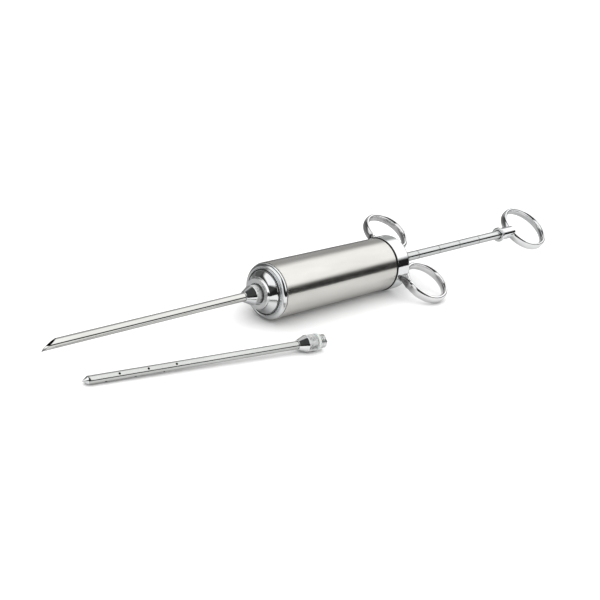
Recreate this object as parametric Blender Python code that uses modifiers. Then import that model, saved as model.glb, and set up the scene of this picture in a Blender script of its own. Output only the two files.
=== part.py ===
"""Two-ounce marinade injector of stainless steel, drawn out, with its spare perforated needle.

Sizes are in millimetres and turned into metres where a mesh is made. A station is a distance along
an assembly's own Z axis, and a radius is measured from that axis. The injector lies along world X,
needle towards -X, and its stations start at the barrel's front edge. The spare needle lies beside it
on the same surface, and its stations start at its point.
"""

import math

import bmesh
import bpy
from mathutils import Matrix, Vector

MM = 0.001
GAP = 0.3                       # between neighbouring solids
MERGE = 0.02                    # a Screw modifier's merge distance

# Barrel
BARREL_RADIUS = 17.0
BARREL_BORE = 16.0
BARREL_LENGTH = 97.0
SIDES = 40                      # facets round the large turned pieces
SMALL_SIDES = 24                # facets round the small ones
TUBE_SIDES = 20

# Caps, whose skirts go inside the barrel's ends
SKIRT_RADIUS = BARREL_BORE - GAP
SKIRT_BORE = 13.0
SKIRT_LENGTH = 5.3
SEAL_STATION = 1.9              # middle of a skirt's O-ring, measured from the barrel's end
SEAL_WIRE = 0.6                 # radius of that O-ring's section
GROOVE_WALL = 0.9               # half the groove's width
BOSS_RADIUS = 9.3
BOSS_FACE = -9.0
RECESS_RADIUS = 6.3
RECESS_FLOOR = -3.2
DOME_RADIUS = 12.5
FLANGE_RADIUS = 16.7
COLLAR_RADIUS = 17.5
COLLAR_BACK = 109.5
COLLAR_WALL = 3.0
GUIDE_RADIUS = 6.5

# Finger loops and thumb ring, bands that lie in one plane with the axis
LOOP_ROLL = math.radians(22.5)
LOOP_MEAN = 14.7
LOOP_STATION = 126.0
LOOP_OFFSET = 22.2
NECK_FRONT = 101.6              # where a loop's neck starts on the collar's side
NECK_BACK = 110.2               # where it has come round into the loop's own plane
NECK_TWIST = math.radians(16)   # how far round the collar it starts
NECK_TAPER = 0.5                # its width there, as a share of its width at the loop
BAND_THICKNESS = 3.2
BAND_WIDTH = 6.2
BAND_EASE = 1.3
THUMB_ROLL = math.radians(3.0)  # beyond the finger loops' roll
THUMB_LENGTHWISE = 18.5         # mean half lengths of the oval ring
THUMB_CROSSWISE = 17.2
THUMB_STATION = 268.0
HUB_RADIUS = 4.4
LOCK_NUT_RADIUS = 5.3
LOCK_NUT_FRONT = 234.0
LOCK_NUT_THICKNESS = 2.0

# Plunger
ROD_RADIUS = 3.0
TENON_RADIUS = 2.5
PISTON_RADIUS = 15.6
PISTON_LENGTH = 12.0
PISTON_BACK = BARREL_LENGTH - SKIRT_LENGTH - 2 * GAP
RING_WIRE = 1.55
RING_RADIUS = 14.15
RING_GROOVE_FLOOR = 12.2
COUNTERBORE_RADIUS = 6.2
COUNTERBORE_DEPTH = 5.0

# Needles
SLANT_HUB = (5.65, 7.9)         # radius and length of the grip band
SPARE_HUB = (4.9, 6.5)
CONE_LENGTH = 5.4
STUB_RADIUS = 3.9
STUB_LENGTH = 6.3
WASHER_THICKNESS = 1.7
HUB_STATION = -18.9             # where the slant needle's hub cone starts
SLANT_TUBE = (2.5, 1.9)         # outer and inner radius
SLANT_TIP = -150.1
SLANT_BEVEL = math.radians(29)      # between the cut and the axis
SLANT_ROLL = math.radians(-57)      # which side of the tube its point is on
SPARE_TUBE = (2.3, 1.6)
SPARE_HUB_STATION = 127.3
SPARE_CONE = 2.9
SPARE_HOLE_FIRST = 12.0
SPARE_HOLE_PITCH = 15.95
SPARE_HOLE_STAGGER = 7.2        # from one row to the row at right angles to it
SPARE_HOLE_TURN = math.radians(117)
SPARE_HOLE_RADIUS = 0.65
SPARE_HOLES = 3                 # along each drilled row
SPARE_PLACE = (-134.8, -15.0)   # its point, from the barrel's front edge and the axis
SPARE_HEADING = math.radians(-10.7)

STEEL = (0.60, 0.59, 0.57)
CHROME = (0.80, 0.80, 0.81)
SILICONE = (0.82, 0.84, 0.82)
RED_SILICONE = (0.55, 0.06, 0.04)

parts = bpy.data.collections.new("meat_injector")
helpers = bpy.data.collections.new("cutters")


def start():
    for old in list(bpy.data.objects):
        bpy.data.objects.remove(old)
    bpy.context.scene.collection.children.link(parts)
    bpy.context.scene.collection.children.link(helpers)


def paint(obj, colour, roughness, metallic):
    finish = bpy.data.materials.new(obj.name)
    finish.use_nodes = True
    shader = finish.node_tree.nodes["Principled BSDF"]
    shader.inputs["Base Color"].default_value = (*colour, 1)
    shader.inputs["Roughness"].default_value = roughness
    shader.inputs["Metallic"].default_value = metallic
    obj.data.materials.clear()
    obj.data.materials.append(finish)


def finish_as(obj, kind):
    looks = {
        "brushed": (STEEL, 0.32, 1.0),
        "chrome": (CHROME, 0.08, 1.0),
        "silicone": (SILICONE, 0.45, 0.0),
        "red_silicone": (RED_SILICONE, 0.4, 0.0),
    }
    paint(obj, *looks[kind])


def frame_of(name, place, heading, roll, parent=None):
    """An empty whose Z runs backwards along an assembly's axis, rolled about it."""
    empty = bpy.data.objects.new(name, None)
    parts.objects.link(empty)
    empty.parent = parent
    along, lift = heading
    forward = Vector((
        math.cos(along) * math.cos(lift),
        math.sin(along) * math.cos(lift),
        math.sin(lift),
    ))
    level = Vector((-math.sin(along), math.cos(along), 0))
    above = forward.cross(level)
    side = level * math.cos(roll) + above * math.sin(roll)
    turn = Matrix((side, forward.cross(side), forward)).transposed().to_4x4()
    empty.matrix_world = Matrix.Translation(Vector(place) * MM) @ turn
    return empty


def turned_about(empty, name, angle=0.0):
    """An empty for one moving group, on the same axis as its parent."""
    group = bpy.data.objects.new(name, None)
    parts.objects.link(group)
    group.parent = empty
    group.rotation_euler.z = angle
    return group


def outline_mesh(name, outline, closed):
    mesh = bpy.data.meshes.new(name)
    points = [(radius * MM, 0, station * MM) for station, radius in outline]
    last = len(points) if closed else len(points) - 1
    mesh.from_pydata(points, [(i, (i + 1) % len(points)) for i in range(last)], [])
    return mesh


def turned(name, outline, parent, kind="chrome", sides=SIDES, closed=True, helper=False):
    """Turns an outline of (station, radius) points, back to front along its outer side."""
    obj = bpy.data.objects.new(name, outline_mesh(name, outline, closed))
    (helpers if helper else parts).objects.link(obj)
    obj.parent = parent
    screw = obj.modifiers.new("Turn", "SCREW")
    screw.steps = sides
    screw.render_steps = sides
    screw.use_merge_vertices = True
    screw.merge_threshold = MERGE * MM
    if helper:
        hide(obj)
    else:
        finish_as(obj, kind)
        obj.data.shade_smooth()
    return obj


def hide(obj):
    obj.hide_render = True
    obj.display_type = "WIRE"


def sleeve(front, back, inner, outer, ease=0.3):
    """The outline of a plain tube or ring with eased outer corners."""
    return [
        (back, inner), (back, outer - ease), (back - ease, outer),
        (front + ease, outer), (front, outer - ease), (front, inner),
    ]


def round_section(middle, radius, wire, points=8):
    """The outline of an O-ring, starting at its inner side and going round by the back."""
    turns = [math.tau * i / points for i in range(points)]
    return [(middle + wire * math.sin(t), radius - wire * math.cos(t)) for t in turns]


def frozen(obj):
    """The object's evaluated mesh in its own space."""
    graph = bpy.context.evaluated_depsgraph_get()
    return bpy.data.meshes.new_from_object(obj.evaluated_get(graph))


def cut(obj, tool, operation="DIFFERENCE"):
    boolean = obj.modifiers.new(tool.name, "BOOLEAN")
    boolean.operation = operation
    boolean.object = tool


def cylinder_tool(name, radius, length, parent, matrix, sides=12):
    mesh = bpy.data.meshes.new(name)
    form = bmesh.new()
    bmesh.ops.create_cone(
        form, cap_ends=True, segments=sides,
        radius1=radius * MM, radius2=radius * MM, depth=length * MM,
    )
    form.to_mesh(mesh)
    form.free()
    tool = bpy.data.objects.new(name, mesh)
    helpers.objects.link(tool)
    tool.parent = parent
    tool.matrix_local = matrix
    hide(tool)
    return tool


def box_tool(name, size, parent, matrix):
    mesh = bpy.data.meshes.new(name)
    form = bmesh.new()
    bmesh.ops.create_cube(form, size=size * MM)
    form.to_mesh(mesh)
    form.free()
    tool = bpy.data.objects.new(name, mesh)
    helpers.objects.link(tool)
    tool.parent = parent
    tool.matrix_local = matrix
    hide(tool)
    return tool


def barrel(axis):
    turned("barrel", sleeve(0, BARREL_LENGTH, BARREL_BORE, BARREL_RADIUS), axis, "brushed")


def seal_groove(middle):
    """The outline points of a skirt's O-ring groove, from its back to its front."""
    floor = SKIRT_RADIUS - 2 * SEAL_WIRE - GAP
    back = middle + GROOVE_WALL
    front = middle - GROOVE_WALL
    return [(back, SKIRT_RADIUS), (back, floor), (front, floor), (front, SKIRT_RADIUS)]


def cap_seal(name, middle, parent):
    wire = round_section(middle, SKIRT_RADIUS - SEAL_WIRE, SEAL_WIRE, 6)
    turned(name, wire, parent, "silicone")


def front_cap(axis):
    """The stepped nose. Its chamber narrows from the skirt to the hole that the needle screws into."""
    hole = STUB_RADIUS + GAP
    turned("front_cap", [
        (SKIRT_LENGTH, SKIRT_BORE), (SKIRT_LENGTH, SKIRT_RADIUS),
        *seal_groove(SEAL_STATION),
        (-GAP, SKIRT_RADIUS), (-GAP, FLANGE_RADIUS),
        (-1.0, FLANGE_RADIUS - 0.2), (-1.9, 15.6), (-2.2, 14.9), (-2.2, 13.4),
        (-3.3, 13.0), (-3.3, DOME_RADIUS), (-4.4, 12.2), (-6.4, 10.6), (-7.6, BOSS_RADIUS),
        (BOSS_FACE + 0.4, BOSS_RADIUS), (BOSS_FACE, BOSS_RADIUS - 0.4),
        (BOSS_FACE, RECESS_RADIUS), (RECESS_FLOOR, RECESS_RADIUS), (RECESS_FLOOR, hole),
        (1.0, hole), (2.6, SKIRT_BORE),
    ], turned_about(axis, "front_cap_axis"))
    cap_seal("front_cap_gasket", SEAL_STATION, turned_about(axis, "front_seal_axis"))


def rear_cap(axis):
    """The collar that carries the finger loops. Its inner boss guides the rod."""
    hole = ROD_RADIUS + GAP
    group = turned_about(axis, "rear_cap_axis")
    inner_wall = COLLAR_BACK - COLLAR_WALL
    front = BARREL_LENGTH + GAP
    skirt_front = BARREL_LENGTH - SKIRT_LENGTH
    turned("rear_cap", [
        (COLLAR_BACK, hole), (COLLAR_BACK, COLLAR_RADIUS - 1.2),
        (COLLAR_BACK - 0.35, COLLAR_RADIUS - 0.35), (COLLAR_BACK - 1.2, COLLAR_RADIUS),
        (front + 0.5, COLLAR_RADIUS), (front, COLLAR_RADIUS - 0.5), (front, SKIRT_RADIUS),
        *seal_groove(BARREL_LENGTH - SEAL_STATION),
        (skirt_front, SKIRT_RADIUS), (skirt_front, SKIRT_BORE), (inner_wall, SKIRT_BORE),
        (inner_wall, GUIDE_RADIUS), (skirt_front + GAP, GUIDE_RADIUS), (skirt_front + GAP, hole),
    ], group)
    cap_seal("rear_cap_gasket", BARREL_LENGTH - SEAL_STATION, turned_about(axis, "rear_seal_axis"))
    return group


def band_section(mean):
    """The outline of a band that is bent into a ring, its width along the ring's axis."""
    half = BAND_WIDTH / 2
    inner = mean - BAND_THICKNESS / 2
    outer = mean + BAND_THICKNESS / 2
    ease = BAND_EASE
    return [
        (half, inner + ease), (half, outer - ease), (half - ease, outer),
        (ease - half, outer), (-half, outer - ease), (-half, inner + ease),
        (ease - half, inner), (half - ease, inner),
    ]


def lying_flat(station, offset):
    """Turns a ring so that it lies in the plane of the axis, its centre at a station and an offset."""
    return Matrix.Translation(Vector((offset, 0, station)) * MM) @ Matrix.Rotation(math.pi / 2, 4, "X")


def arc(centre, radius, first, last, count):
    """Points (offset, station) on an arc, at angles from the offset's direction in degrees."""
    steps = [math.radians(first + (last - first) * i / (count - 1)) for i in range(count)]
    return [(centre[0] + radius * math.cos(t), centre[1] + radius * math.sin(t)) for t in steps]


def neck_outline():
    """The bent strip that joins a loop to the collar's side, as (offset, station) points."""
    centre = (LOOP_OFFSET, LOOP_STATION)
    root = COLLAR_RADIUS + GAP
    inner_side = arc(centre, LOOP_MEAN, 238, 262, 4)
    outer_side = arc(centre, LOOP_MEAN + BAND_THICKNESS / 2, 292, 268, 3)
    return [
        (root, NECK_FRONT), (root, 104.5), (root, 107.5), (root + 0.5, NECK_BACK),
        *inner_side, *outer_side,
        (root + 3.3, 108.6), (root + 2.4, 106.6), (root + 1.8, 104.5), (root + 1.2, NECK_FRONT),
    ]


def twist_neck(mesh):
    """Turns a flat strip's front end round the collar and narrows it."""
    for vertex in mesh.vertices:
        offset, station, height = vertex.co / MM
        share = min(1, max(0, (NECK_BACK - station) / (NECK_BACK - NECK_FRONT)))
        height *= 1 - (1 - NECK_TAPER) * share
        turn = NECK_TWIST * share
        vertex.co.x = (offset * math.cos(turn) - height * math.sin(turn)) * MM
        vertex.co.z = (offset * math.sin(turn) + height * math.cos(turn)) * MM


def strip_tool(name, outline, width, parent):
    """A flat outline with thickness, given in the plane of the axis."""
    curve = bpy.data.curves.new(name, "CURVE")
    curve.dimensions = "2D"
    curve.fill_mode = "BOTH"
    curve.extrude = width / 2 * MM
    line = curve.splines.new("POLY")
    line.points.add(len(outline) - 1)
    for point, (offset, station) in zip(line.points, outline):
        point.co = (offset * MM, station * MM, 0, 1)
    line.use_cyclic_u = True
    flat = bpy.data.objects.new(name + "_outline", curve)
    helpers.objects.link(flat)
    bpy.context.view_layer.update()
    mesh = frozen(flat)
    form = bmesh.new()
    form.from_mesh(mesh)
    bmesh.ops.remove_doubles(form, verts=form.verts, dist=MERGE * MM)
    bmesh.ops.recalc_face_normals(form, faces=form.faces)
    form.to_mesh(mesh)
    form.free()
    bpy.data.objects.remove(flat)
    tool = bpy.data.objects.new(name, mesh)
    helpers.objects.link(tool)
    tool.parent = parent
    tool.matrix_local = Matrix.Rotation(math.pi / 2, 4, "X")
    hide(tool)
    return tool


def finger_loops(group):
    """Two equal loops, one each side of the collar, brazed to it by their necks."""
    for name, side in (("finger_loop_far", 0.0), ("finger_loop_near", math.pi)):
        half = turned_about(group, name + "_side", side)
        loop = turned(name, band_section(LOOP_MEAN), half)
        loop.matrix_local = lying_flat(LOOP_STATION, LOOP_OFFSET)
        neck = strip_tool(name + "_neck", neck_outline(), BAND_WIDTH - 1.0, half)
        twist_neck(neck.data)
        cut(loop, neck, "UNION")


def piston(group, seals):
    front = PISTON_BACK - PISTON_LENGTH
    hole = TENON_RADIUS + GAP
    middles = [front + PISTON_LENGTH * share for share in (0.27, 0.73)]
    wall = RING_WIRE + GAP
    grooves = []
    for middle in reversed(middles):
        grooves += [
            (middle + wall, PISTON_RADIUS), (middle + wall, RING_GROOVE_FLOOR),
            (middle - wall, RING_GROOVE_FLOOR), (middle - wall, PISTON_RADIUS),
        ]
    floor = front + COUNTERBORE_DEPTH
    turned("piston_head", [
        (PISTON_BACK, hole), (PISTON_BACK, PISTON_RADIUS - 0.4), (PISTON_BACK - 0.4, PISTON_RADIUS),
        *grooves,
        (front + 0.4, PISTON_RADIUS), (front, PISTON_RADIUS - 0.4),
        (front, COUNTERBORE_RADIUS), (floor, COUNTERBORE_RADIUS), (floor, hole),
    ], group, "brushed")
    for name, middle in zip(("piston_ring_front", "piston_ring_rear"), middles):
        turned(name, round_section(middle, RING_RADIUS, RING_WIRE), seals, "red_silicone")
    washer = sleeve(floor - GAP - 0.8, floor - GAP, hole, 5.6, 0.1)
    turned("piston_washer", washer, group, "brushed", SMALL_SIDES)
    hexagon = 6
    nut_bore = hole / math.cos(math.pi / hexagon)
    nut = sleeve(front + 0.2, floor - 2 * GAP - 0.8, nut_bore, 4.6, 0.2)
    turned("piston_nut", nut, group, "brushed", hexagon)


def plunger(axis):
    """The rod with the piston on its front tenon and the thumb ring on its back end."""
    group = turned_about(axis, "plunger_axis")
    piston(group, turned_about(axis, "piston_seal_axis"))
    shoulder = PISTON_BACK + GAP
    tenon = PISTON_BACK - PISTON_LENGTH + 0.5
    back = 245.0
    turned("plunger_rod", [
        (back, 0), (back, ROD_RADIUS - 0.4), (back - 0.4, ROD_RADIUS),
        (shoulder, ROD_RADIUS), (shoulder, TENON_RADIUS),
        (tenon + 0.3, TENON_RADIUS), (tenon, TENON_RADIUS - 0.3), (tenon, 0),
    ], group, sides=SMALL_SIDES, closed=False)
    nut_back = LOCK_NUT_FRONT + LOCK_NUT_THICKNESS
    bore = ROD_RADIUS + GAP
    nut = sleeve(LOCK_NUT_FRONT, nut_back, bore, LOCK_NUT_RADIUS)
    turned("thumb_lock_nut", nut, group, sides=SMALL_SIDES)
    hub_back = THUMB_STATION - THUMB_LENGTHWISE - BAND_THICKNESS / 2 - GAP
    hub = [
        (hub_back, 0), (hub_back, HUB_RADIUS), (nut_back + 0.6, HUB_RADIUS),
        (nut_back + GAP, HUB_RADIUS - 0.3), (nut_back + GAP, bore), (back + GAP, bore), (back + GAP, 0),
    ]
    turned("thumb_hub", hub, group, sides=SMALL_SIDES, closed=False)
    thumb_ring(group)


def thumb_ring(group):
    """An oval band, longer along the rod. It is turned round, and then drawn out to its two lengths."""
    mean = (THUMB_LENGTHWISE + THUMB_CROSSWISE) / 2
    ring = turned("thumb_ring", band_section(mean), turned_about(group, "thumb_roll", THUMB_ROLL))
    bpy.context.view_layer.update()
    mesh = frozen(ring)
    mesh.transform(Matrix.Diagonal((THUMB_CROSSWISE / mean, THUMB_LENGTHWISE / mean, 1, 1)))
    ring.modifiers.clear()
    ring.data = mesh
    ring.matrix_local = lying_flat(THUMB_STATION, 0)
    front = THUMB_STATION - THUMB_LENGTHWISE - BAND_THICKNESS / 2
    middle = Matrix.Translation(Vector((0, 0, front + BAND_THICKNESS / 2)) * MM)
    foot = cylinder_tool(
        "thumb_ring_foot", HUB_RADIUS - 1.4, BAND_THICKNESS, ring.parent, middle, SMALL_SIDES,
    )
    cut(ring, foot, "UNION")


def needle_hub(name, station, tube, hub, group):
    """The turned hub: a cone on the tube, a grip band and the stub that screws into the cap."""
    radius, grip = hub
    rim = station + CONE_LENGTH + grip
    end = rim + STUB_LENGTH
    seat = end - 3.0
    outer, inner = tube
    turned(name, [
        (end, inner), (end, STUB_RADIUS - 0.5), (end - 0.5, STUB_RADIUS), (rim, STUB_RADIUS),
        (rim, radius - 0.3), (rim - 0.3, radius), (station + CONE_LENGTH, radius),
        (station, outer + 0.4 + GAP),
        (station, outer + GAP), (seat, outer + GAP), (seat, inner),
    ], group, sides=SMALL_SIDES)
    return rim, seat - GAP


def needle_washer(name, rim, hub, group):
    ring = sleeve(rim + GAP, rim + GAP + WASHER_THICKNESS, STUB_RADIUS + GAP, hub[0])
    turned(name, ring, group, "silicone", SMALL_SIDES)


def slant_needle(axis):
    """A wide tube, open at its slanted point, for thick marinades."""
    group = turned_about(axis, "needle_axis")
    rim, tube_back = needle_hub("slant_needle_hub", HUB_STATION, SLANT_TUBE, SLANT_HUB, group)
    needle_washer("slant_needle_seal", rim, SLANT_HUB, turned_about(axis, "needle_seal_axis"))
    outer, inner = SLANT_TUBE
    tube = turned("slant_needle_tube", [
        (tube_back, inner), (tube_back, outer), (SLANT_TIP - 1, outer), (SLANT_TIP - 1, inner),
    ], group, "brushed", TUBE_SIDES)
    size = 12 * outer
    point = Matrix.Rotation(SLANT_ROLL, 4, "Z") @ Matrix.Translation(Vector((0, -outer, SLANT_TIP)) * MM)
    slope = point @ Matrix.Rotation(math.pi / 2 - SLANT_BEVEL, 4, "X")
    below = slope @ Matrix.Translation(Vector((0, size / 3, -size / 2)) * MM)
    cut(tube, box_tool("bevel", size, group, below))


def spare_needle(axis):
    """A closed point with rows of small side holes, for thin marinades."""
    rim, tube_back = needle_hub(
        "perforated_needle_hub", SPARE_HUB_STATION, SPARE_TUBE, SPARE_HUB, axis,
    )
    needle_washer("perforated_needle_seal", rim, SPARE_HUB, axis)
    outer, inner = SPARE_TUBE
    tube = turned("perforated_needle_tube", [
        (tube_back, inner), (tube_back, outer), (SPARE_CONE + GAP, outer), (SPARE_CONE + GAP, inner),
    ], axis, "brushed", TUBE_SIDES)
    plug = inner - GAP
    turned("perforated_needle_tip", [
        (SPARE_CONE + 4, 0), (SPARE_CONE + 4, plug), (SPARE_CONE, plug), (SPARE_CONE, outer), (0, 0),
    ], axis, "chrome", TUBE_SIDES, closed=False)
    for i in range(2 * SPARE_HOLES):
        station = SPARE_HOLE_FIRST + SPARE_HOLE_PITCH * (i // 2) + SPARE_HOLE_STAGGER * (i % 2)
        turn = Matrix.Rotation(SPARE_HOLE_TURN - math.pi / 2 * (i % 2), 4, "Z")
        through = Matrix.Translation(Vector((0, 0, station)) * MM) @ turn
        through = through @ Matrix.Rotation(math.pi / 2, 4, "X")
        cut(tube, cylinder_tool(f"drill_{i}", SPARE_HOLE_RADIUS, 3 * outer, axis, through, 10))


def centre_on_origin(roots):
    """Moves the assemblies so that the middle of the whole object's underside is the origin."""
    bpy.context.view_layer.update()
    corners = []
    for obj in parts.objects:
        if obj.type == "MESH":
            mesh = frozen(obj)
            corners += [obj.matrix_world @ vertex.co for vertex in mesh.vertices]
            bpy.data.meshes.remove(mesh)
    low = Vector(min(corner[i] for corner in corners) for i in range(3))
    high = Vector(max(corner[i] for corner in corners) for i in range(3))
    middle = (low + high) / 2
    for root in roots:
        root.location -= Vector((middle.x, middle.y, low.z))


def main():
    start()
    flat = math.cos(math.pi / SIDES)
    height = COLLAR_RADIUS * flat
    axis = frame_of("injector_axis", (0, 0, height), (0.0, 0.0), LOOP_ROLL)
    barrel(axis)
    front_cap(axis)
    finger_loops(rear_cap(axis))
    plunger(axis)
    slant_needle(axis)
    hub_flat = SPARE_HUB[0] * math.cos(math.pi / SMALL_SIDES)
    lift = math.asin((hub_flat - SPARE_TUBE[0]) / (SPARE_HUB_STATION + CONE_LENGTH))
    place = (*SPARE_PLACE, SPARE_TUBE[0])
    spare = frame_of("spare_needle_axis", place, (SPARE_HEADING, lift), math.pi / SMALL_SIDES)
    spare_needle(spare)
    centre_on_origin([axis, spare])


main()
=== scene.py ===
"""Looks of the meat injector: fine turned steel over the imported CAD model, on a pale studio floor.

Sizes are in millimetres and turned into metres where a mesh is made. A station is a distance along an
assembly's own Z axis and a radius is measured from it, as in the CAD model: the injector's stations
start at the barrel's front edge and the spare needle's at its point. Each piece is built in its
assembly's space and then moved into the frame's.
"""

import math

import bmesh
import bpy
from mathutils import Matrix, Vector


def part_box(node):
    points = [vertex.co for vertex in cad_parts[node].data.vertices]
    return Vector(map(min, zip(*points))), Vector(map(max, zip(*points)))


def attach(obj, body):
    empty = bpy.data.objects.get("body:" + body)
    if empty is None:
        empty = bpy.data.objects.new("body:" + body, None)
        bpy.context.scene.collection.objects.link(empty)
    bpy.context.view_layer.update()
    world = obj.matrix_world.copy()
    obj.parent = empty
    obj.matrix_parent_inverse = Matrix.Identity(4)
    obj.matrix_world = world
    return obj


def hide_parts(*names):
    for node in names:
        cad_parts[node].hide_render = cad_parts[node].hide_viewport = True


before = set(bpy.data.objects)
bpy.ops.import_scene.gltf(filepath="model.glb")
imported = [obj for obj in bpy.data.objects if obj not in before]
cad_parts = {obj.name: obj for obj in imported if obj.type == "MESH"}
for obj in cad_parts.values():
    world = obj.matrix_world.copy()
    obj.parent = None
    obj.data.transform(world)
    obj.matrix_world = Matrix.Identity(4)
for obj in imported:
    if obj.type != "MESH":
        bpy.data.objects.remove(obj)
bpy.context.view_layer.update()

MM = 0.001
GAP = 0.3                       # between neighbouring solids, as in the CAD model
SIDES = 144                     # round the large turned pieces
SMALL_SIDES = 96                # round the small ones
CORD_SIDES = 20                 # round an O-ring's cord
DRILL_SIDES = 28
EASE = 0.25                     # how far a corner's rounding reaches along its sides
EASE_SHARE = 0.46               # and the most of a side that it takes
EASE_STEPS = 5
NEARLY_STRAIGHT = math.radians(4)
CURVE_STEPS = 8                 # along each of the nose's curves
SHARP = math.radians(28)        # edges that bend more than this stay crisp

# Barrel and caps
BARREL_RADIUS = 17.0
BARREL_BORE = 16.0
BARREL_LENGTH = 97.0
SKIRT_RADIUS = BARREL_BORE - GAP
SKIRT_BORE = 13.0
SKIRT_LENGTH = 5.3
CAP_PITCH = 1.5
CAP_THREAD_DEPTH = 0.45
SEAL_STATION = 1.9
SEAL_WIRE = 0.6
GROOVE_WALL = 0.9
BOSS_RADIUS = 9.3
BOSS_FACE = -9.0
RECESS_RADIUS = 6.3
RECESS_FLOOR = -3.2
DOME_RADIUS = 12.5
DOME_RIDGE = -3.75
BEAD = (12.95, 13.6)            # the radii of the unpolished bead between the dome and the rim, which carries painted shade
BEAD_FACE = -3.35
RIM_FOOT = -2.0                 # the bottom of the step between the bead and the rim
RIM_FACE = -2.6
FLANGE_RADIUS = 16.7
COLLAR_RADIUS = 17.5
COLLAR_BACK = 109.5
COLLAR_WALL = 3.0
UNDERCUT = (0.75, 0.9)          # width and depth of the unpolished step at the collar's front, which carries painted shade
GUIDE_RADIUS = 6.5

# Finger loops and thumb ring
LOOP_ROLL = math.radians(22.5)
LOOP_MEAN = 14.7
LOOP_STATION = 126.0
LOOP_OFFSET = 22.2
NECK_FRONT = 101.6
NECK_BEND = 108.4               # where it starts to turn outwards
NECK_BACK = 110.2               # where its twist round the collar ends
NECK_TWIST = math.radians(16)
NECK_THICKNESS = 1.5            # at the neck's end on the collar
NECK_WIDTH = 3.1
NECK_GROWTH = 0.8               # the share of its length over which it grows to the band's size
NECK_JOIN = 0.1                 # and how much thinner it stays, to run into the band
NECK_STEPS = 24
NECK_SHADE_STATIONS = (108.0, 111.2)     # the stations between which the painted shade on the necks fades out
BAND_THICKNESS = 3.2
BAND_WIDTH = 6.2
BAND_SQUARENESS = 2.1           # the section's superellipse exponent
BAND_SIDES = 28
THUMB_ROLL = math.radians(3.0)
THUMB_LENGTHWISE = 18.5
THUMB_CROSSWISE = 17.2
THUMB_STATION = 268.0
LOOP_SECTIONS = 112
THUMB_SECTIONS = 128
HUB_RADIUS = 4.4
LOCK_NUT_RADIUS = 5.3
LOCK_NUT_FRONT = 234.0
LOCK_NUT_THICKNESS = 2.0

# Plunger
ROD_RADIUS = 3.0
ROD_BACK = 245.0
TENON_RADIUS = 2.5
TENON_SETBACK = 0.5             # from the piston's front
PISTON_RADIUS = 15.6
PISTON_LENGTH = 12.0
PISTON_BACK = BARREL_LENGTH - SKIRT_LENGTH - 2 * GAP
RING_WIRE = 1.55
RING_RADIUS = 14.15
RING_PLACES = (0.27, 0.73)      # the piston rings' places, as shares of the piston's length
RING_GROOVE_FLOOR = 12.2
COUNTERBORE_RADIUS = 6.2
COUNTERBORE_DEPTH = 5.0
MARK_FIRST = 114.6              # the rod's dose marks
MARK_PITCH = 23.1
MARKS = 5
MARK_WIDTH = 0.5
MARK_DEPTH = 0.12

# Needles
SLANT_HUB = (5.65, 7.9)         # radius and length of the grip band
SPARE_HUB = (4.9, 6.5)
CONE_LENGTH = 5.4
KNURL_TEETH = 34
TOOTH_SIDES = 6                 # round each tooth
KNURL_DEPTH = 0.28
KNURL_STRETCH = 1.5             # the length of its diamonds over their width
STUB_RADIUS = 3.9
STUB_LENGTH = 6.3
TUBE_SEAT = 3.0                 # how far inside the stub's end the needle's tube stops
CAD_HUB_SIDES = 24              # the spare needle rests on one of its hub's flats
STUB_PITCH = 1.25
THREAD_DEPTH = 0.3
WASHER_THICKNESS = 1.7
HUB_STATION = -18.9
SLANT_TUBE = (2.5, 1.9)
SLANT_TIP = -150.1
SLANT_BEVEL = math.radians(29)
SLANT_RISE = math.radians(33)   # the side on which the cut runs furthest back
SPARE_TUBE = (2.3, 1.6)
SPARE_HUB_STATION = 127.3
SPARE_CONE = 2.9
SPARE_HOLE_FIRST = 12.0
SPARE_HOLE_PITCH = 15.95
SPARE_HOLE_STAGGER = 7.2        # from one row to the row at right angles to it
SPARE_HOLE_TURN = math.radians(117)
SPARE_HOLE_RADIUS = 0.65
SPARE_HOLES = 3
SPARE_PLACE = (-134.8, -15.0)   # its point, from the barrel's front edge and the axis
SPARE_HEADING = math.radians(-10.7)

# Camera, from the photograph's perspective. Places are in metres from the barrel's front edge.
CAMERA_PLACE = (-0.3993, -0.3584, 0.2601)
CAMERA_HEADING = math.radians(-50.163)
CAMERA_TILT = math.radians(64.05)
CAMERA_ROLL = math.radians(13.04)
LENS = 61.9

# Studio. What the steel reflects is set apart from what lights the floor.
FLOOR_RADIUS = 9.0
FLOOR_SIDES = 96
LOW_LIGHT = 0.30                # that lights the floor and everything matt, at the horizon
OVERHEAD_LIGHT = 1.80           # and how much more comes from overhead
BACKDROP = 0.97                 # behind the object, where the camera sees past the floor
RIGHT_BOX = 1.38                # the softbox to the right
RIGHT_BOX_BACK = 0.55           # its dimmer part, behind the object
LEFT_BOX = 1.15
FLOOR_NEAR = 0.68               # the floor as steel reflects it, on the camera's side
FLOOR_UNDER = 0.42
FLOOR_BEHIND = 0.12
BETWEEN_BOXES = 0.05
CAMERA_SIDE = 0.015             # below the boxes, on the camera's side
FAR_SIDE = 0.42                 # and behind the object, to the right
FAR_CORNER = 0.10               # and to the left
BOX_TIP = -0.07                 # how the boxes' lower edges tip towards the camera

# Where the studio's edges fade, as parts of a direction: X along the injector, Y across it and Z up
BOX_FOOT = (0.33, 0.50)         # Z
RIGHT_BOX_EDGE = (0.0, 0.15)    # X
RIGHT_BOX_DIMS = (0.30, 0.60)   # Y
FAR_SIDE_EDGE = (0.10, 0.45)    # X
FAR_FROM_NEAR = (-0.12, 0.12)   # Y
LEFT_BOX_EDGE = (-0.28, -0.45)  # X
LEFT_BOX_NEAR = (-0.42, -0.22)  # Y
LEFT_BOX_FAR = (0.55, 0.80)     # Y

# Where the floor's reflected greys blend, in metres along Y
UNDER_OBJECT = (-0.015, 0.003)
BEHIND_OBJECT = (0.02, 0.12)


# ---- Where the two assemblies lie ----

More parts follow.
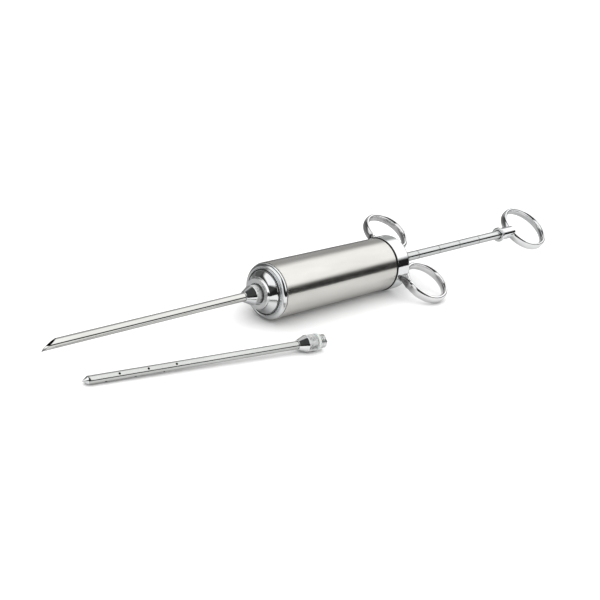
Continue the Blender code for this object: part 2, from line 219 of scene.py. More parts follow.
def assembly(place, heading, lift, roll):
    """The matrix from an assembly's space, whose Z runs backwards along its axis, to the frame's."""
    forward = Vector((
        math.cos(heading) * math.cos(lift),
        math.sin(heading) * math.cos(lift),
        math.sin(lift),
    ))
    level = Vector((-math.sin(heading), math.cos(heading), 0))
    side = level * math.cos(roll) + forward.cross(level) * math.sin(roll)
    turn = Matrix((side, forward.cross(side), forward)).transposed().to_4x4()
    return Matrix.Translation(place) @ turn


def barrel_front():
    """The point where the injector's axis leaves the barrel's front."""
    low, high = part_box("barrel")
    return Vector((low[0], (low[1] + high[1]) / 2, (low[2] + high[2]) / 2))


def spare_matrix():
    half_side = math.pi / CAD_HUB_SIDES
    rise = SPARE_HUB[0] * math.cos(half_side) - SPARE_TUBE[0]
    lift = math.asin(rise / (SPARE_HUB_STATION + CONE_LENGTH))
    front = barrel_front()
    tip = front + Vector((*SPARE_PLACE, 0)) * MM
    tip.z = SPARE_TUBE[0] * MM
    return assembly(tip, SPARE_HEADING, lift, half_side)


INJECTOR = assembly(barrel_front(), 0, 0, LOOP_ROLL)
SPARE = spare_matrix()


# ---- Materials ----

def material(name):
    """A new node material: (material, its node tree, its shader)."""
    made = bpy.data.materials.new(name)
    made.use_nodes = True
    tree = made.node_tree
    return made, tree, tree.nodes["Principled BSDF"]


def axes(tree, space):
    """X, Y and Z in one of the coordinate spaces."""
    coordinates = tree.nodes.new("ShaderNodeTexCoord")
    split = tree.nodes.new("ShaderNodeSeparateXYZ")
    tree.links.new(coordinates.outputs[space], split.inputs["Vector"])
    return [split.outputs[name] for name in "XYZ"]


def noise(tree, scale, stretch=(1, 1, 1), turn=0.0):
    """Noise in the object's own space, stretched by dividing its scale along each axis."""
    coordinates = tree.nodes.new("ShaderNodeTexCoord")
    mapping = tree.nodes.new("ShaderNodeMapping")
    mapping.inputs["Rotation"].default_value = (0, 0, turn)
    mapping.inputs["Scale"].default_value = [scale / share for share in stretch]
    texture = tree.nodes.new("ShaderNodeTexNoise")
    texture.inputs["Scale"].default_value = 1.0
    texture.inputs["Detail"].default_value = 3.0
    tree.links.new(coordinates.outputs["Object"], mapping.inputs["Vector"])
    tree.links.new(mapping.outputs["Vector"], texture.inputs["Vector"])
    return texture.outputs["Fac"]


def spread(tree, value, low, high, start=0.3, end=0.7):
    """Maps a value, by default a noise value, onto a range."""
    node = tree.nodes.new("ShaderNodeMapRange")
    node.inputs["From Min"].default_value = start
    node.inputs["From Max"].default_value = end
    node.inputs["To Min"].default_value = low
    node.inputs["To Max"].default_value = high
    tree.links.new(value, node.inputs["Value"])
    return node.outputs["Result"]


def tinted(tree, value, dark, light):
    """A colour between two, by a value from 0 to 1."""
    node = tree.nodes.new("ShaderNodeMix")
    node.data_type = "RGBA"
    node.inputs["A"].default_value = (*dark, 1)
    node.inputs["B"].default_value = (*light, 1)
    tree.links.new(value, node.inputs["Factor"])
    return node.outputs["Result"]


def smooth_step(tree, value, start, end):
    """0 up to start and 1 from end on, easing between."""
    node = tree.nodes.new("ShaderNodeMapRange")
    node.interpolation_type = "SMOOTHSTEP"
    node.inputs["From Min"].default_value = start
    node.inputs["From Max"].default_value = end
    tree.links.new(value, node.inputs["Value"])
    return node.outputs["Result"]


def feed(tree, socket, value):
    """Sets a socket to a number, or links another node's output to it."""
    if isinstance(value, (int, float)):
        socket.default_value = value
    else:
        tree.links.new(value, socket)


def between(tree, factor, low, high):
    """A value between two, each of which is a number or another node's output."""
    node = tree.nodes.new("ShaderNodeMix")
    tree.links.new(factor, node.inputs["Factor"])
    feed(tree, node.inputs["A"], low)
    feed(tree, node.inputs["B"], high)
    return node.outputs["Result"]


def sloped(tree, value, slope, start):
    """A value times a slope, added to a number or another node's output."""
    node = tree.nodes.new("ShaderNodeMath")
    node.operation = "MULTIPLY_ADD"
    node.inputs[1].default_value = slope
    tree.links.new(value, node.inputs[0])
    feed(tree, node.inputs[2], start)
    return node.outputs["Value"]


def coloured(tree, shader, value, dark, light):
    """Gives a shader a colour between two that varies with a noise value."""
    tree.links.new(tinted(tree, spread(tree, value, 0, 1), dark, light), shader.inputs["Base Color"])


def roughened(tree, shader, value, smooth, rough):
    tree.links.new(spread(tree, value, smooth, rough), shader.inputs["Roughness"])


def bumped(tree, shader, value, strength, depth):
    """Gives a shader fine relief, of a depth in millimetres."""
    node = tree.nodes.new("ShaderNodeBump")
    node.inputs["Strength"].default_value = strength
    node.inputs["Distance"].default_value = depth * MM
    tree.links.new(value, node.inputs["Height"])
    tree.links.new(node.outputs["Normal"], shader.inputs["Normal"])


def metal(name):
    """A new material of bare metal: (material, its node tree, its shader)."""
    made, tree, shader = material(name)
    shader.inputs["Metallic"].default_value = 1.0
    return made, tree, shader


def buffed(tree, shader):
    """The trace of haze and of wiped marks on polished steel."""
    roughened(tree, shader, noise(tree, 900), 0.035, 0.10)
    bumped(tree, shader, noise(tree, 1400), 0.08, 0.01)


def polished_steel():
    made, tree, shader = metal("polished_steel")
    coloured(tree, shader, noise(tree, 160), (0.74, 0.76, 0.77), (0.83, 0.83, 0.83))
    buffed(tree, shader)
    return made


def painted_shade_loop_steel():
    """Polished steel with painted shade, a dark reflection painted into its colour where the loops' necks lie
    on the collar.
    """
    made, tree, shader = metal("painted_shade_loop_steel")
    # Painted shade: the steel's colour is dark ahead of the first station and fades to clean steel by the
    # second.
    start, end = (barrel_front().x + station * MM for station in NECK_SHADE_STATIONS)
    unshaded = smooth_step(tree, axes(tree, "Object")[0], start, end)
    haze = spread(tree, noise(tree, 160), 0.94, 1.0)
    colour = tinted(tree, between(tree, unshaded, 0, haze), (0.15, 0.15, 0.15), (0.83, 0.83, 0.83))
    tree.links.new(colour, shader.inputs["Base Color"])
    buffed(tree, shader)
    return made


def cut_steel():
    """Knurled and threaded steel, which the cutting left duller than the buffed faces."""
    made, tree, shader = metal("cut_steel")
    marks = noise(tree, 900)
    coloured(tree, shader, marks, (0.58, 0.59, 0.59), (0.76, 0.77, 0.76))
    roughened(tree, shader, marks, 0.24, 0.38)
    bumped(tree, shader, marks, 0.3, 0.03)
    return made


def painted_shade_steel():
    """Unpolished steel, darkened by painted shade, for the collar's undercut and the nose's bead."""
    made, tree, shader = metal("painted_shade_steel")
    tone = noise(tree, 300)
    # Painted shade: the near-black colour stands in for the shade in these hollows.
    coloured(tree, shader, tone, (0.05, 0.05, 0.05), (0.10, 0.10, 0.10))
    roughened(tree, shader, tone, 0.40, 0.55)
    return made


def drawn_steel(name, dark, light, smooth, rough, heading=0.0):
    """Satin tube with grain along its length, which blurs reflections round it."""
    made, tree, shader = metal(name)
    grain = noise(tree, 2600, (60, 1, 1), -heading)
    cloud = noise(tree, 90, (4, 1, 1), -heading)
    coloured(tree, shader, cloud, dark, light)
    roughened(tree, shader, grain, smooth, rough)
    bumped(tree, shader, grain, 0.35, 0.02)
    return made


def rubber(name, dark, light, roughness):
    made, tree, shader = material(name)
    shader.inputs["Subsurface Weight"].default_value = 0.1
    shader.inputs["Subsurface Scale"].default_value = 1.5 * MM
    mottle = noise(tree, 600)
    coloured(tree, shader, mottle, dark, light)
    roughened(tree, shader, mottle, roughness - 0.06, roughness + 0.06)
    bumped(tree, shader, noise(tree, 2500), 0.15, 0.03)
    return made


def engraved_fill():
    """The dull dark bottom of an etched mark."""
    made, tree, shader = material("etched_mark")
    shader.inputs["Metallic"].default_value = 0.6
    dust = noise(tree, 1800)
    coloured(tree, shader, dust, (0.10, 0.10, 0.10), (0.22, 0.22, 0.21))
    roughened(tree, shader, dust, 0.45, 0.65)
    return made


def floor_finish():
    """White to the camera; to glossy rays a painted grey, with painted shade that darkens it under and behind
    the object.
    """
    made, tree, shader = material("studio_floor")
    shader.inputs["Specular IOR Level"].default_value = 0.0
    shader.inputs["Roughness"].default_value = 0.9
    white = tinted(tree, spread(tree, noise(tree, 0.7), 0, 1), (0.925, 0.925, 0.92), (0.94, 0.94, 0.94))
    depth = axes(tree, "Object")[1]
    # Painted shade in the floor's reflection: the grey darkens under the object, then further behind it.
    near = between(tree, spread(tree, depth, 0, 1, *UNDER_OBJECT), FLOOR_NEAR, FLOOR_UNDER)
    grey = between(tree, spread(tree, depth, 0, 1, *BEHIND_OBJECT), near, FLOOR_BEHIND)
    rays = tree.nodes.new("ShaderNodeLightPath")
    seen = tree.nodes.new("ShaderNodeMix")
    seen.data_type = "RGBA"
    tree.links.new(rays.outputs["Is Glossy Ray"], seen.inputs["Factor"])
    tree.links.new(white, seen.inputs["A"])
    tree.links.new(grey, seen.inputs["B"])
    tree.links.new(seen.outputs["Result"], shader.inputs["Base Color"])
    return made


POLISHED = polished_steel()
PAINTED_SHADE_LOOP_STEEL = painted_shade_loop_steel()
CUT = cut_steel()
PAINTED_SHADE = painted_shade_steel()
BARREL_STEEL = drawn_steel("brushed_tube", (0.585, 0.575, 0.545), (0.655, 0.645, 0.615), 0.13, 0.23)
ROD_STEEL = drawn_steel("rod_steel", (0.54, 0.55, 0.55), (0.64, 0.65, 0.65), 0.11, 0.19)
NEEDLE_STEEL = drawn_steel("needle_tube", (0.60, 0.60, 0.58), (0.70, 0.70, 0.68), 0.02, 0.06)
SPARE_STEEL = drawn_steel("spare_needle_tube", (0.49, 0.50, 0.485), (0.59, 0.60, 0.585), 0.06, 0.14,
                          SPARE_HEADING)
SILICONE = rubber("clear_silicone", (0.50, 0.53, 0.51), (0.60, 0.63, 0.61), 0.42)
RED_SILICONE = rubber("red_silicone", (0.40, 0.03, 0.02), (0.55, 0.06, 0.04), 0.40)
ETCHED = engraved_fill()


# ---- Building pieces ----

def curve(start, bend, stop, steps=CURVE_STEPS):
    """Points along a curve that leaves start and reaches stop heading for and from the bend."""
    points = []
    for k in range(steps + 1):
        t = k / steps
        points.append(tuple(start * (1 - t) ** 2 + bend * 2 * t * (1 - t) + stop * t ** 2))
    return points


def rounded(outline, closed=True):
    """The outline with its corners rounded. A point's third value is its own reach."""
    result = []
    for i, (station, radius, *own) in enumerate(outline):
        here = Vector((station, radius))
        after = outline[(i + 1) % len(outline)]
        to_before = Vector(outline[i - 1][:2]) - here
        to_after = Vector(after[:2]) - here
        end = not closed and i in (0, len(outline) - 1)
        if end or to_before.angle(-to_after) < NEARLY_STRAIGHT:
            result.append((station, radius))
            continue
        size = own[0] if own else EASE
        start = here + to_before.normalized() * min(size, EASE_SHARE * to_before.length)
        stop = here + to_after.normalized() * min(size, EASE_SHARE * to_after.length)
        result += curve(start, here, stop, EASE_STEPS)
    return result


def turned(outline, sides=SIDES, closed=True):
    """An outline of (station, radius) points turned round the axis, as a bmesh."""
    form = bmesh.new()
    ring = [form.verts.new((radius * MM, 0, station * MM)) for station, radius in outline]
    pairs = list(zip(ring, ring[1:] + ring[:1]))
    edges = [form.edges.new(pair) for pair in (pairs if closed else pairs[:-1])]
    bmesh.ops.spin(form, geom=ring + edges, cent=(0, 0, 0), axis=(0, 0, 1),
                   angle=math.tau, steps=sides, use_merge=True)
    bmesh.ops.remove_doubles(form, verts=form.verts, dist=0.002 * MM)
    bmesh.ops.recalc_face_normals(form, faces=form.faces)
    return form


def rows(first, last, pitch):
    """Evenly spaced stations from first to last."""
    count = max(1, round(abs(last - first) / pitch))
    return [first + (last - first) * i / count for i in range(count + 1)]


def pressed(form, first, last, radius, depth_at):
    """Sinks the surface at a radius, between two stations, by depth_at(angle, station)."""
    for vertex in form.verts:
        x, y, station = vertex.co / MM
        here = math.hypot(x, y)
        if first <= station <= last and here > radius - 0.05:
            share = (here - depth_at(math.atan2(y, x), station)) / here
            vertex.co.x *= share
            vertex.co.y *= share


def groove(turn):
    """1 on a whole number and 0 half-way between, with flanks that steepen towards the bottom."""
    return abs(2 * (turn % 1) - 1) ** 1.6


def knurl(first, radius):
    """The depth of a diamond knurl: two sets of crossing grooves."""
    pitch = math.tau * radius / KNURL_TEETH * KNURL_STRETCH

    def depth_at(angle, station):
        round_it = KNURL_TEETH * angle / math.tau
        along = (station - first) / pitch
        return KNURL_DEPTH * max(groove(round_it + along), groove(round_it - along))
    return depth_at


def thread(pitch, depth):
    """The depth of a right-hand screw thread."""
    return lambda angle, station: depth * groove(station / pitch - angle / math.tau)


def superellipse():
    """Points round a rounded-square section of half size 1."""
    points = []
    for k in range(BAND_SIDES):
        turn = math.tau * k / BAND_SIDES
        across, up = math.cos(turn), math.sin(turn)
        power = 2 / BAND_SQUARENESS
        points.append((math.copysign(abs(across) ** power, across), math.copysign(abs(up) ** power, up)))
    return points


def lofted(form, stations, closed):
    """Joins sections, each (centre, outward, sideways, thickness, width), into a bar."""
    section = superellipse()
    rings = []
    for centre, outward, sideways, thickness, width in stations:
        ring = []
        for across, up in section:
            point = centre + outward * (across * thickness / 2) + sideways * (up * width / 2)
            ring.append(form.verts.new(point * MM))
        rings.append(ring)
    following = rings[1:] + rings[:1] if closed else rings[1:]
    for ring, after in zip(rings, following):
        for k in range(len(section)):
            nearby = (k + 1) % len(section)
            form.faces.new((ring[k], ring[nearby], after[nearby], after[k]))
    if not closed:
        form.faces.new(rings[0])
        form.faces.new(rings[-1])
    bmesh.ops.recalc_face_normals(form, faces=form.faces)


def meshed(name, form):
    """A new object with a bmesh's shape."""
    mesh = bpy.data.meshes.new(name)
    form.to_mesh(mesh)
    form.free()
    made = bpy.data.objects.new(name, mesh)
    bpy.context.scene.collection.objects.link(made)
    return made


def piece(name, form, finish, body, node, matrix=INJECTOR):
    """Makes a bmesh an object in the frame, which rides on a body and stands for a CAD node."""
    made = meshed(name, form)
    made.data.transform(matrix)
    made.data.shade_smooth()
    made.data.set_sharp_from_angle(angle=SHARP)
    made.data.materials.append(finish)
    evened = made.modifiers.new("even_normals", "WEIGHTED_NORMAL")
    evened.keep_sharp = True
    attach(made, body)
    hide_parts(node)
    return made


def settled(made):
    """Applies a piece's modifiers."""
    graph = bpy.context.evaluated_depsgraph_get()
    mesh = bpy.data.meshes.new_from_object(made.evaluated_get(graph))
    made.modifiers.clear()
    made.data = mesh


def finished(made, matrix, finish, chosen):
    """Gives a second finish to the faces for which chosen(radius, station) holds."""
    made.data.materials.append(finish)
    inverse = matrix.inverted()
    for face in made.data.polygons:
        x, y, station = inverse @ face.center / MM
        if chosen(math.hypot(x, y), station):
            face.material_index = 1


def o_ring(name, middle, radius, wire, finish, body, node):
    turns = [math.tau * i / CORD_SIDES for i in range(CORD_SIDES)]
    outline = [(middle + wire * math.sin(t), radius - wire * math.cos(t)) for t in turns]
    piece(name, turned(outline), finish, body, node)


# ---- Barrel and caps ----

def barrel():
    outline = rounded([
        (BARREL_LENGTH, BARREL_BORE), (BARREL_LENGTH, BARREL_RADIUS),
        (0, BARREL_RADIUS, 0.35), (0, BARREL_BORE),
    ])
    made = piece("barrel_tube", turned(outline), BARREL_STEEL, "barrel", "barrel")


def skirt(end, outward, thread_end):
    """The outline of a cap's threaded skirt from its seal groove to its end, with rows for the thread."""
    bottom = SKIRT_RADIUS - 2 * SEAL_WIRE - GAP
    near = end - outward * (SEAL_STATION - GROOVE_WALL)
    far = end - outward * (SEAL_STATION + GROOVE_WALL)
    return [
        (near, SKIRT_RADIUS), (near, bottom), (far, bottom), (far, SKIRT_RADIUS),
        *[(station, SKIRT_RADIUS) for station in rows(far - outward * 0.2, thread_end, 0.15)],
    ]


def flare():
    """The nose's concave sweep from the boss out to the dome's ridge."""
    start = Vector((BOSS_FACE + 1.6, BOSS_RADIUS))
    bend = Vector((BOSS_FACE + 3.0, BOSS_RADIUS + 0.5))
    stop = Vector((DOME_RIDGE - 0.25, DOME_RADIUS - 0.25))
    return curve(start, bend, stop)


def shoulder():
    """The nose's rim, which turns over from the barrel's side towards the front."""
    edge = Vector((-GAP - 0.15, FLANGE_RADIUS))
    corner = Vector((RIM_FACE + 0.3, FLANGE_RADIUS - 0.15))
    stop = Vector((RIM_FACE, BEAD[1] + 1.15))
    return [(-GAP, FLANGE_RADIUS - 0.15), *curve(edge, corner, stop)]


def bead():
    """The outline from inside the rim, over the bead, to the dome's ridge."""
    return [
        (RIM_FACE + 0.1, BEAD[1] + 0.7, 0.2), (RIM_FOOT, BEAD[1] + 0.45, 0.1), (RIM_FOOT, BEAD[1] + 0.2, 0.1),
        (BEAD_FACE + 0.05, BEAD[1], 0.45), (BEAD_FACE, BEAD[0], 0.15),
        (BEAD_FACE + 0.45, BEAD[0] - 0.15, 0.1), (BEAD_FACE + 0.4, BEAD[0] - 0.3, 0.1),
        (DOME_RIDGE, DOME_RADIUS + 0.05, 0.35),
    ]


def front_cap():
    hole = STUB_RADIUS + GAP
    skirt_end = SKIRT_LENGTH
    outline = rounded([
        (skirt_end, SKIRT_BORE), (skirt_end, SKIRT_RADIUS), *reversed(skirt(0, -1, skirt_end - 0.3)),
        (-GAP, SKIRT_RADIUS, 0.1), *shoulder(), *bead(), *reversed(flare()),
        (BOSS_FACE, BOSS_RADIUS, 0.45), (BOSS_FACE, RECESS_RADIUS, 0.3),
        (RECESS_FLOOR, RECESS_RADIUS), (RECESS_FLOOR, hole), (1.0, hole), (2.6, SKIRT_BORE, 0.8),
    ])
    form = turned(outline)
    cap_thread = thread(CAP_PITCH, CAP_THREAD_DEPTH)
    pressed(form, SEAL_STATION + GROOVE_WALL + 0.1, skirt_end - 0.2, SKIRT_RADIUS, cap_thread)
    made = piece("front_cap_nose", form, POLISHED, "front_cap", "front_cap")

    # The bead's face gets the painted shade finish, near-black steel.
    def on_bead(radius, station):
        return BEAD[0] - 0.1 < radius < BEAD[1] + 0.05 and BEAD_FACE - 0.15 < station < BEAD_FACE + 0.4
    finished(made, INJECTOR, PAINTED_SHADE, on_bead)
    o_ring("front_cap_o_ring", SEAL_STATION, SKIRT_RADIUS - SEAL_WIRE, SEAL_WIRE,
           SILICONE, "front_seal", "front_cap_gasket")


def rear_cap():
    hole = ROD_RADIUS + GAP
    front = BARREL_LENGTH + GAP
    skirt_front = BARREL_LENGTH - SKIRT_LENGTH
    inner_wall = COLLAR_BACK - COLLAR_WALL
    outline = rounded([
        (COLLAR_BACK, hole, 0.6), (COLLAR_BACK, COLLAR_RADIUS, 1.3),
        (front + UNDERCUT[0], COLLAR_RADIUS, 0.2), (front + UNDERCUT[0], COLLAR_RADIUS - UNDERCUT[1], 0.05),
        (front, COLLAR_RADIUS - UNDERCUT[1], 0.1), (front, SKIRT_RADIUS, 0.1),
        *skirt(BARREL_LENGTH, 1, skirt_front + 0.3),
        (skirt_front, SKIRT_RADIUS), (skirt_front, SKIRT_BORE), (inner_wall, SKIRT_BORE),
        (inner_wall, GUIDE_RADIUS), (skirt_front + GAP, GUIDE_RADIUS), (skirt_front + GAP, hole),
    ])
    form = turned(outline)
    thread_back = BARREL_LENGTH - SEAL_STATION - GROOVE_WALL - 0.1
    pressed(form, skirt_front + 0.2, thread_back, SKIRT_RADIUS, thread(CAP_PITCH, CAP_THREAD_DEPTH))
    made = piece("rear_cap_collar", form, POLISHED, "rear_cap", "rear_cap")

    # The undercut gets the painted shade finish, near-black steel.
    def in_undercut(radius, station):
        return radius < COLLAR_RADIUS - 0.1 and front - 0.05 < station < front + UNDERCUT[0] + 0.05
    finished(made, INJECTOR, PAINTED_SHADE, in_undercut)
    o_ring("rear_cap_o_ring", BARREL_LENGTH - SEAL_STATION, SKIRT_RADIUS - SEAL_WIRE, SEAL_WIRE,
           SILICONE, "rear_seal", "rear_cap_gasket")


# ---- Finger loops and thumb ring ----

def oval(offset, station, crosswise, lengthwise, count):
    """Sections round a flat band in the plane of the axis."""
    sections = []
    for k in range(count):
        turn = math.tau * k / count
        reach = Vector((crosswise * math.cos(turn), 0, lengthwise * math.sin(turn)))
        outward = Vector((math.cos(turn) / crosswise, 0, math.sin(turn) / lengthwise)).normalized()
        centre = Vector((offset, 0, station)) + reach
        sections.append((centre, outward, Vector((0, 1, 0)), BAND_THICKNESS, BAND_WIDTH))
    return sections


def neck():
    """Sections of the strip that leads from the collar's side, round and out, into a loop's front."""
    root = COLLAR_RADIUS + GAP
    front = LOOP_STATION - LOOP_MEAN
    guide = [
        (root + NECK_THICKNESS / 2, NECK_FRONT), (root + 0.8, NECK_BEND),
        (root + 1.5, front), (LOOP_OFFSET + 2.4, front + 0.2),
    ]
    guide = [Vector((offset, 0, station)) for offset, station in guide]
    sections = []
    for k in range(NECK_STEPS + 1):
        t = k / NECK_STEPS
        weights = [(1 - t) ** 3, 3 * t * (1 - t) ** 2, 3 * t ** 2 * (1 - t), t ** 3]
        slopes = [-(1 - t) ** 2, (1 - t) * (1 - 3 * t), t * (2 - 3 * t), t ** 2]
        centre = sum((point * weight for point, weight in zip(guide, weights)), Vector())
        along = sum((point * slope for point, slope in zip(guide, slopes)), Vector()).normalized()
        outward = Vector((along.z, 0, -along.x))
        share = min(1, max(0, (NECK_BACK - centre.z) / (NECK_BACK - NECK_FRONT)))
        twist = Matrix.Rotation(NECK_TWIST * share, 3, "Z").inverted()
        grown = math.sin(math.pi / 2 * min(1, t / NECK_GROWTH))
        thickness = NECK_THICKNESS + (BAND_THICKNESS - NECK_JOIN - NECK_THICKNESS) * grown
        width = NECK_WIDTH + (BAND_WIDTH - NECK_JOIN - NECK_WIDTH) * grown
        sections.append((twist @ centre, twist @ outward, twist @ Vector((0, 1, 0)), thickness, width))
    return sections


def finger_loops():
    for name, side in (("finger_loop_far", 0.0), ("finger_loop_near", math.pi)):
        form = bmesh.new()
        lofted(form, oval(LOOP_OFFSET, LOOP_STATION, LOOP_MEAN, LOOP_MEAN, LOOP_SECTIONS), True)
        lofted(form, neck(), False)
        turn = INJECTOR @ Matrix.Rotation(side, 4, "Z")
        # The loops' steel carries painted shade along the necks.
        made = piece(name + "_band", form, PAINTED_SHADE_LOOP_STEEL, "rear_cap", name, turn)


def thumb_ring():
    form = bmesh.new()
    lofted(form, oval(0, THUMB_STATION, THUMB_CROSSWISE, THUMB_LENGTHWISE, THUMB_SECTIONS), True)
    turn = INJECTOR @ Matrix.Rotation(THUMB_ROLL, 4, "Z")
    piece("thumb_ring_band", form, POLISHED, "plunger", "thumb_ring", turn)


# ---- Plunger ----

def plunger_rod():
    back_of_piston = PISTON_BACK + GAP
    tenon = PISTON_BACK - PISTON_LENGTH + TENON_SETBACK
    bottom = ROD_RADIUS - MARK_DEPTH
    marks = []
    for i in reversed(range(MARKS)):
        middle = MARK_FIRST + MARK_PITCH * i
        back = middle + MARK_WIDTH / 2
        front = middle - MARK_WIDTH / 2
        marks += [
            (back, ROD_RADIUS, 0.05), (back, bottom, 0.03), (front, bottom, 0.03), (front, ROD_RADIUS, 0.05),
        ]
    outline = rounded([
        (ROD_BACK, 0), (ROD_BACK, ROD_RADIUS, 0.4), *marks, (back_of_piston, ROD_RADIUS),
        (back_of_piston, TENON_RADIUS), (tenon, TENON_RADIUS, 0.4), (tenon, 0),
    ], closed=False)
    made = piece("plunger_rod_bar", turned(outline, SMALL_SIDES, closed=False), ROD_STEEL, "plunger",
                 "plunger_rod")

    def in_mark(radius, station):
        return radius < bottom + 0.05 and back_of_piston + 1 < station < ROD_BACK - 1
    finished(made, INJECTOR, ETCHED, in_mark)


def thumb_fittings():
    """The lock nut, and the sleeve that runs through the thumb ring's band."""
    nut_back = LOCK_NUT_FRONT + LOCK_NUT_THICKNESS
    bore = ROD_RADIUS + GAP
    outline = rounded([
        (nut_back, bore), (nut_back, LOCK_NUT_RADIUS, 0.7),
        (LOCK_NUT_FRONT, LOCK_NUT_RADIUS, 0.9), (LOCK_NUT_FRONT, bore, 0.2),
    ])
    made = piece("thumb_lock_nut_ring", turned(outline, SMALL_SIDES), POLISHED, "plunger", "thumb_lock_nut")
    inner_side = THUMB_STATION - THUMB_LENGTHWISE + BAND_THICKNESS / 2
    outline = rounded([
        (inner_side + 0.2, 0), (inner_side + 0.2, HUB_RADIUS, 0.35), (nut_back + GAP, HUB_RADIUS, 0.4),
        (nut_back + GAP, bore, 0.15), (ROD_BACK + GAP, bore), (ROD_BACK + GAP, 0),
    ], closed=False)
    made = piece("thumb_hub_sleeve", turned(outline, SMALL_SIDES, closed=False), POLISHED, "plunger",
                 "thumb_hub")


def piston():
    front = PISTON_BACK - PISTON_LENGTH
    hole = TENON_RADIUS + GAP
    middles = [front + PISTON_LENGTH * share for share in RING_PLACES]
    wall = RING_WIRE + GAP
    grooves = []
    for middle in reversed(middles):
        grooves += [
            (middle + wall, PISTON_RADIUS), (middle + wall, RING_GROOVE_FLOOR),
            (middle - wall, RING_GROOVE_FLOOR), (middle - wall, PISTON_RADIUS),
        ]
    bottom = front + COUNTERBORE_DEPTH
    outline = rounded([
        (PISTON_BACK, hole), (PISTON_BACK, PISTON_RADIUS, 0.5), *grooves, (front, PISTON_RADIUS, 0.5),
        (front, COUNTERBORE_RADIUS, 0.4), (bottom, COUNTERBORE_RADIUS), (bottom, hole),
    ])
    made = piece("piston_body", turned(outline), BARREL_STEEL, "plunger", "piston_head")
    for name, middle in zip(("piston_ring_front", "piston_ring_rear"), middles):
        o_ring(name + "_cord", middle, RING_RADIUS, RING_WIRE, RED_SILICONE, "piston_seals", name)


# ---- Needles ----

def needle_hub(name, station, tube, hub, body, node, matrix):
    """The hub: a cone, a knurled grip band, a rim and the threaded stub."""
    outer, inner = tube
    radius, grip = hub
    knurl_front = station + CONE_LENGTH
    rim = knurl_front + grip
    end = rim + STUB_LENGTH
    seat = end - TUBE_SEAT
    outline = rounded([
        (end, inner, 0.2), (end, STUB_RADIUS, 0.4),
        *[(row, STUB_RADIUS) for row in rows(end - 0.5, rim + 0.3, 0.12)],
        (rim, STUB_RADIUS, 0.05), (rim, radius, 0.3),
        *[(row, radius) for row in rows(rim - 0.45, knurl_front + 0.25, 0.14)],
        (knurl_front, radius, 0.2), (station, outer + 0.55, 0.15),
        (station, outer + 0.05, 0.05), (seat, outer + 0.05), (seat, inner),
    ])
    form = turned(outline, TOOTH_SIDES * KNURL_TEETH)
    pressed(form, knurl_front + 0.3, rim - 0.4, radius, knurl(knurl_front, radius))
    pressed(form, rim + 0.35, end - 0.45, STUB_RADIUS, thread(STUB_PITCH, THREAD_DEPTH))
    made = piece(name, form, POLISHED, body, node, matrix)

    def worked(distance, middle):
        return distance > STUB_RADIUS - 0.5 and (
            knurl_front + 0.2 < middle < rim - 0.3 or rim + 0.2 < middle < end - 0.4)
    finished(made, matrix, CUT, worked)
    return rim, seat


def needle_washer(name, rim, hub, body, node, matrix):
    radius = hub[0]
    outline = rounded([
        (rim + GAP + WASHER_THICKNESS, STUB_RADIUS + 0.05), (rim + GAP + WASHER_THICKNESS, radius, 0.5),
        (rim + 0.1, radius, 0.5), (rim + 0.1, STUB_RADIUS + 0.05),
    ])
    form = turned(outline, SMALL_SIDES)
    piece(name, form, SILICONE, body, node, matrix)


def slant_needle():
    rim, seat = needle_hub(
        "slant_needle_grip", HUB_STATION, SLANT_TUBE, SLANT_HUB, "needle", "slant_needle_hub", INJECTOR,
    )
    needle_washer("slant_needle_washer", rim, SLANT_HUB, "needle_seal", "slant_needle_seal", INJECTOR)
    outer, inner = SLANT_TUBE
    back = seat - GAP
    form = turned([(back, inner), (back, outer), (SLANT_TIP, outer), (SLANT_TIP, inner)], SMALL_SIDES)
    rise = Vector((math.cos(SLANT_RISE), math.sin(SLANT_RISE))) / math.tan(SLANT_BEVEL)
    for vertex in form.verts:
        if vertex.co.z < (SLANT_TIP + 1) * MM:
            vertex.co.z += vertex.co.xy.dot(rise) + outer * rise.length * MM
    made = piece("slant_needle_cannula", form, NEEDLE_STEEL, "needle", "slant_needle_tube")


def drill(station, turn, length):
    """A fine cutter for one through hole of the spare needle."""
    form = bmesh.new()
    bmesh.ops.create_cone(form, cap_ends=True, segments=DRILL_SIDES, depth=length * MM,
                          radius1=SPARE_HOLE_RADIUS * MM, radius2=SPARE_HOLE_RADIUS * MM)
    across = Matrix.Rotation(turn, 4, "Z") @ Matrix.Rotation(math.pi / 2, 4, "X")
    place = SPARE @ Matrix.Translation((0, 0, station * MM)) @ across
    bmesh.ops.transform(form, matrix=place, verts=form.verts)
    return meshed("drill", form)


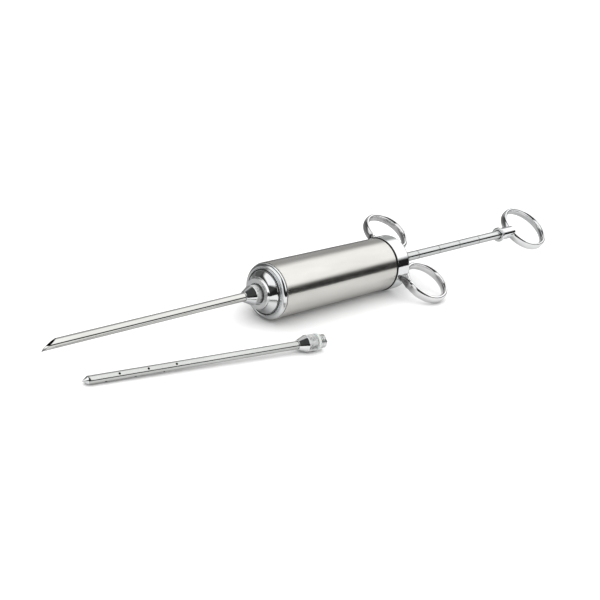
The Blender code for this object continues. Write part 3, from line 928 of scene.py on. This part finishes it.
def spare_needle():
    body = "spare_needle"
    rim, seat = needle_hub(
        "spare_needle_grip", SPARE_HUB_STATION, SPARE_TUBE, SPARE_HUB, body, "perforated_needle_hub", SPARE,
    )
    needle_washer("spare_needle_washer", rim, SPARE_HUB, body, "perforated_needle_seal", SPARE)
    outer, inner = SPARE_TUBE
    back = seat - GAP
    front = SPARE_CONE + 0.1
    drilled = rows(SPARE_HOLE_FIRST + SPARE_HOLE_PITCH * SPARE_HOLES, front + 0.3, 1.0)
    outline = [
        (back, inner), (back, outer), *[(row, outer) for row in drilled],
        (front, outer - 0.12), (front, inner),
    ]
    made = piece("spare_needle_cannula", turned(outline, SMALL_SIDES), SPARE_STEEL, body,
                 "perforated_needle_tube", SPARE)
    drills = []
    for i in range(2 * SPARE_HOLES):
        station = SPARE_HOLE_FIRST + SPARE_HOLE_PITCH * (i // 2) + SPARE_HOLE_STAGGER * (i % 2)
        drills.append(drill(station, SPARE_HOLE_TURN - math.pi / 2 * (i % 2), 3 * outer))
        bore = made.modifiers.new("bore", "BOOLEAN")
        bore.object = drills[-1]
    settled(made)
    for tool in drills:
        bpy.data.objects.remove(tool)
    plug = inner - 0.05
    outline = rounded([
        (SPARE_CONE + 4, 0), (SPARE_CONE + 4, plug), (SPARE_CONE, plug, 0.02), (SPARE_CONE, outer, 0.15),
        (0.25, 0.2, 0.1), (0, 0),
    ], closed=False)
    tip = piece("spare_needle_point", turned(outline, SMALL_SIDES, closed=False), POLISHED, body,
                "perforated_needle_tip", SPARE)


def carried_over():
    """Fine finishes for the CAD nodes that stay as they are, inside the barrel."""
    for node in ("piston_washer", "piston_nut"):
        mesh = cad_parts[node].data
        mesh.materials.clear()
        mesh.materials.append(BARREL_STEEL)


# ---- Studio ----

def floor():
    form = bmesh.new()
    bmesh.ops.create_circle(form, cap_ends=True, segments=FLOOR_SIDES, radius=FLOOR_RADIUS)
    made = meshed("floor", form)
    made.data.materials.append(floor_finish())


def reflected_studio(tree, x, y, z):
    """How bright the studio is in each direction, as the steel reflects it."""
    raised = smooth_step(tree, sloped(tree, y, BOX_TIP, z), *BOX_FOOT)
    right_box = between(tree, smooth_step(tree, y, *RIGHT_BOX_DIMS), RIGHT_BOX, RIGHT_BOX_BACK)
    boxes = between(tree, smooth_step(tree, x, *RIGHT_BOX_EDGE), BETWEEN_BOXES, right_box)
    far_side = between(tree, smooth_step(tree, x, *FAR_SIDE_EDGE), FAR_CORNER, FAR_SIDE)
    walls = between(tree, smooth_step(tree, y, *FAR_FROM_NEAR), CAMERA_SIDE, far_side)
    level = between(tree, raised, walls, boxes)
    left_box = between(tree, smooth_step(tree, y, *LEFT_BOX_NEAR), level, LEFT_BOX)
    left_box = between(tree, smooth_step(tree, y, *LEFT_BOX_FAR), left_box, level)
    return between(tree, smooth_step(tree, x, *LEFT_BOX_EDGE), level, left_box)


def sky():
    """One background for what the steel reflects, one that lights the rest and one that the camera sees."""
    world = bpy.data.worlds.new("studio")
    world.use_nodes = True
    bpy.context.scene.world = world
    tree = world.node_tree
    tree.nodes.clear()
    x, y, z = axes(tree, "Generated")
    rays = tree.nodes.new("ShaderNodeLightPath")
    lighting = sloped(tree, z, OVERHEAD_LIGHT, LOW_LIGHT)
    plain = between(tree, rays.outputs["Is Camera Ray"], lighting, BACKDROP)
    direct = between(tree, rays.outputs["Diffuse Depth"], reflected_studio(tree, x, y, z), 0)
    level = between(tree, rays.outputs["Is Glossy Ray"], plain, direct)
    background = tree.nodes.new("ShaderNodeBackground")
    output = tree.nodes.new("ShaderNodeOutputWorld")
    tree.links.new(level, background.inputs["Color"])
    tree.links.new(background.outputs["Background"], output.inputs["Surface"])


def camera():
    data = bpy.data.cameras.new("camera")
    data.lens = LENS
    made = bpy.data.objects.new("camera", data)
    bpy.context.scene.collection.objects.link(made)
    turn = Matrix.Rotation(CAMERA_HEADING, 4, "Z") @ Matrix.Rotation(CAMERA_TILT, 4, "X")
    turn = turn @ Matrix.Rotation(CAMERA_ROLL, 4, "Z")
    made.matrix_world = Matrix.Translation(barrel_front() + Vector(CAMERA_PLACE)) @ turn
    bpy.context.scene.camera = made
    bpy.context.scene.view_settings.view_transform = "Standard"


camera()
barrel()
front_cap()
rear_cap()
finger_loops()
thumb_ring()
plunger_rod()
thumb_fittings()
piston()
slant_needle()
spare_needle()
carried_over()
floor()
sky()
